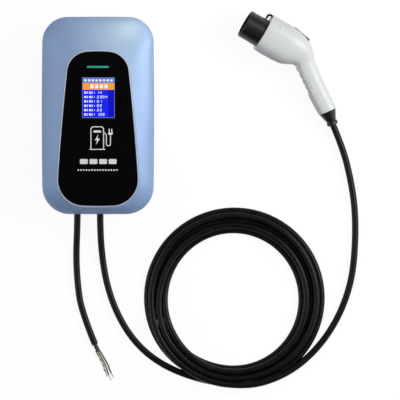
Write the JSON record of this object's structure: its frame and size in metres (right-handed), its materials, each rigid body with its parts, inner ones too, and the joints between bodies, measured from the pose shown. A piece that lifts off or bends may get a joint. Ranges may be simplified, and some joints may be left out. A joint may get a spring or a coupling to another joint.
{
  "type": "ev wallbox",
  "caption": "Wall charging box with colour screen, supply lead and coiled cable to a latching charging gun.",
  "frame": {"origin": "middle of the box's back, on the plane that the wall or the surface under it touches", "axes": "+X to the box's right seen from the front, +Y towards the top of the box, +Z out of the front panel"},
  "size_m": [0.5699, 0.6781, 0.0868],
  "materials": {
    "cover_paint": "satin blue-grey metallic paint",
    "housing_plastic": "fine moulded grain",
    "panel_gloss": "polished black",
    "trim_silver": "bright satin",
    "screen_glass": "backlit colour screen behind clear glass",
    "seal_rubber": "matte",
    "screw_steel": "zinc plated",
    "bracket_steel": "galvanised",
    "board_green": "solder mask",
    "terminal_plastic": "moulded",
    "relay_plastic": "moulded",
    "supply_can": "satin",
    "sensor_plastic": "moulded",
    "header_plastic": "moulded",
    "gland_nylon": "moulded",
    "cable_sheath": "soft sheen",
    "sleeve_grey": "smooth",
    "core_green_yellow": "green with a yellow stripe",
    "core_blue": "smooth",
    "core_brown": "smooth",
    "copper_tips": "tinned strands",
    "gun_white": "satin moulded",
    "gun_black": "satin moulded",
    "button_grey": "soft touch",
    "contact_metal": "silver plated",
    "spring_steel": "bright"
  },
  "bodies": {
    "wallbox_set": {"front_cover": "cover_paint", "panel_trim": "trim_silver", "front_panel": "panel_gloss", "display_screen": "screen_glass", "display_board": "board_green", "display_board_screws": "screw_steel", "rear_housing": "housing_plastic", "housing_seal": "seal_rubber", "cover_screws": "screw_steel", "wall_bracket": "bracket_steel", "control_board": "board_green", "control_board_screws": "screw_steel", "terminal_block": "terminal_plastic", "terminal_screws": "screw_steel", "relays": "relay_plastic", "power_supply": "supply_can", "current_sensor": "sensor_plastic", "capacitors": "supply_can", "fuse_holder": "relay_plastic", "board_headers": "header_plastic", "ribbon_cable": "sleeve_grey", "input_gland_body": "gland_nylon", "input_gland_cap": "gland_nylon", "input_sheath_end": "cable_sheath", "output_gland_body": "gland_nylon", "output_gland_cap": "gland_nylon", "output_sheath_end": "cable_sheath", "gland_seals": "seal_rubber", "gland_locknuts": "gland_nylon", "input_wires": "core_brown", "output_wires": "core_brown", "charging_cable_lead": "cable_sheath", "charging_cable_coil": "cable_sheath", "charging_cable_tail": "cable_sheath", "input_lead": "cable_sheath", "input_inner_sleeve": "sleeve_grey", "core_earth": "core_green_yellow", "core_neutral": "core_blue", "core_live": "core_brown", "core_ends": "copper_tips", "gun_shell_left": "gun_white", "gun_shell_right": "gun_white", "gun_nose": "gun_black", "contact_carrier": "gun_black", "power_contacts": "contact_metal", "signal_contacts": "contact_metal", "latch_pivot_pin": "spring_steel", "latch_spring": "spring_steel", "latch_switch": "relay_plastic", "gun_screws": "screw_steel", "cable_clamp": "gun_black", "gun_cable_boot": "gun_black", "gun_cable_end": "cable_sheath", "gun_wires": "core_brown"},
    "latch": {"latch_lever": "gun_black", "release_button": "button_grey"}
  },
  "joints": [
    {"name": "latch_hinge", "type": "hinge", "parent": "wallbox_set", "child": "latch", "pos_m": [0.32762, 0.16056, 0.03325], "axis": [-0.0965, 0.0557, -0.9938], "range_deg": [0, 6.3], "stiffness_Nm_per_rad": 1, "springref_deg": -8.59, "deforming": ["latch_spring"]}
  ]
}
